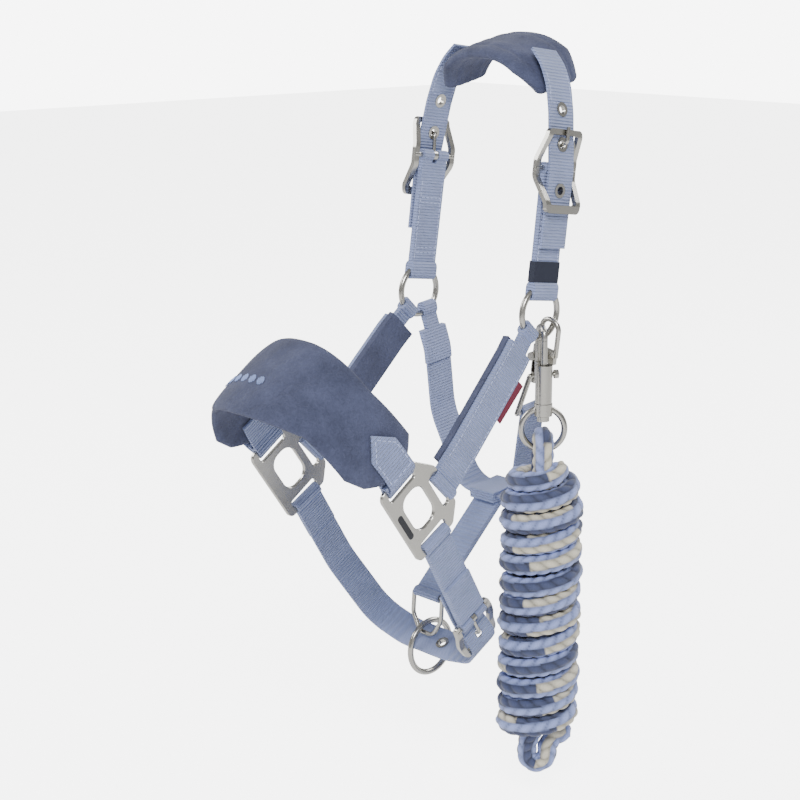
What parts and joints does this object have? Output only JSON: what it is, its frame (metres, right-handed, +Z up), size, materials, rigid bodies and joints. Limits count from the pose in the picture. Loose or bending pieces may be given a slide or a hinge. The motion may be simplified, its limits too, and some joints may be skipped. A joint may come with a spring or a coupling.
{
  "type": "head halter",
  "caption": "Padded webbing head halter for a small pony, with steel rings and buckles, a bolt snap at the throat and a coiled lead rope",
  "frame": {"origin": "middle of the underside of the poll pad, where the halter rests behind the ears", "axes": "+Z up, the nose towards -Y, +X the animal's left, the side the lead rope hangs on"},
  "size_m": [0.1756, 0.2927, 0.5507],
  "materials": {
    "fleece_pad": "brushed fleece",
    "foam": "closed-cell foam, hidden",
    "webbing": "ribbed nylon webbing",
    "eyelet": "nickel-plated brass",
    "satin_steel": "satin",
    "spring_steel": "drawn wire",
    "badge": "matt",
    "size_label": "woven label",
    "wine_tab": "woven tab",
    "rope": "braided polypropylene"
  },
  "bodies": {
    "crown": {"poll_pad_lining": "fleece_pad", "poll_pad_foam": "foam", "poll_pad_cover": "fleece_pad", "crown_strap_left": "webbing", "crown_strap_right": "webbing", "crown_eyelets": "eyelet", "crown_buckle_left": "satin_steel", "crown_buckle_right": "satin_steel", "crown_buckle_bar_left": "satin_steel", "crown_buckle_bar_right": "satin_steel", "crown_billet_left": "webbing", "crown_billet_right": "webbing", "size_label": "size_label"},
    "crown_tongue_l": {"crown_tongue_left": "satin_steel"},
    "crown_tongue_r": {"crown_tongue_right": "satin_steel"},
    "ring_l": {"ring_left": "satin_steel"},
    "ring_r": {"ring_right": "satin_steel"},
    "noseband": {"square_left": "satin_steel", "square_right": "satin_steel", "square_badge": "badge", "nose_pad_lining": "fleece_pad", "nose_pad_foam": "foam", "nose_pad_cover": "fleece_pad", "nose_strap_left": "webbing", "nose_strap_right": "webbing", "cheekpiece_left": "webbing", "cheekpiece_right": "webbing", "cheek_lining_left": "fleece_pad", "cheek_lining_right": "fleece_pad", "side_tab": "wine_tab", "chin_strap": "webbing", "chin_eyelet": "eyelet", "chin_billet": "webbing", "chin_buckle": "satin_steel", "chin_buckle_bar": "satin_steel", "connector_ring": "satin_steel", "throat_strap": "webbing", "throat_connector": "webbing", "throat_snap_body": "satin_steel", "throat_snap_eye": "satin_steel", "throat_snap_spring": "spring_steel"},
    "chin_buckle_tongue": {"chin_tongue": "satin_steel"},
    "lead_loop": {"lead_ring": "satin_steel"},
    "throat_bolt": {"throat_snap_bolt": "satin_steel"},
    "lead_snap": {"lead_snap_body": "satin_steel", "lead_snap_spring": "spring_steel"},
    "lead_bolt": {"lead_snap_bolt": "satin_steel"},
    "lead_swivel": {"lead_snap_eye": "satin_steel", "rope_loop": "rope", "rope_hank": "rope", "rope_end": "rope"}
  },
  "joints": [
    {"name": "crown_fold", "type": "hinge", "parent": "crown", "child": "noseband", "pos_m": [0, -0.02485, -0.18141], "axis": [1, 0, 0], "range_deg": [-12, 12]},
    {"name": "ring_left_turn", "type": "hinge", "parent": "crown", "child": "ring_l", "pos_m": [0.063, -0.02485, -0.18141], "axis": [1, 0, 0], "continuous": true},
    {"name": "ring_right_turn", "type": "hinge", "parent": "crown", "child": "ring_r", "pos_m": [-0.063, -0.02485, -0.18141], "axis": [1, 0, 0], "continuous": true},
    {"name": "crown_tongue_left_lift", "type": "hinge", "parent": "crown", "child": "crown_tongue_l", "pos_m": [0.062, -0.01086, -0.07926], "axis": [0, 0.9907, -0.1357], "range_deg": [0, 2]},
    {"name": "crown_tongue_right_lift", "type": "hinge", "parent": "crown", "child": "crown_tongue_r", "pos_m": [-0.062, -0.01086, -0.07926], "axis": [0, -0.9907, 0.1357], "range_deg": [0, 2]},
    {"name": "chin_tongue_lift", "type": "hinge", "parent": "noseband", "child": "chin_buckle_tongue", "pos_m": [0.0656, -0.0935, -0.39479], "axis": [0, 0.8599, 0.5105], "range_deg": [0, 2]},
    {"name": "lead_ring_turn", "type": "hinge", "parent": "noseband", "child": "lead_loop", "pos_m": [-0.009, -0.06307, -0.44604], "axis": [1, 0, 0], "continuous": true},
    {"name": "throat_bolt_pull", "type": "slide", "parent": "noseband", "child": "throat_bolt", "axis": [-0.2035, 0.0839, -0.9755], "range_m": [0, 0.006], "stiffness_N_per_m": 200, "springref_m": -0.002, "deforming": ["throat_snap_spring"]},
    {"name": "lead_swing", "type": "hinge", "parent": "noseband", "child": "lead_snap", "pos_m": [0.063, -0.02231, -0.19948], "axis": [0, -1, 0], "range_deg": [0, 30]},
    {"name": "lead_bolt_pull", "type": "slide", "parent": "lead_snap", "child": "lead_bolt", "axis": [0, 0, -1], "range_m": [0, 0.007], "stiffness_N_per_m": 200, "springref_m": -0.002, "deforming": ["lead_snap_spring"]},
    {"name": "lead_swivel_turn", "type": "hinge", "parent": "lead_snap", "child": "lead_swivel", "pos_m": [0.0695, -0.02606, -0.19948], "axis": [0, 0, 1], "continuous": true}
  ]
}
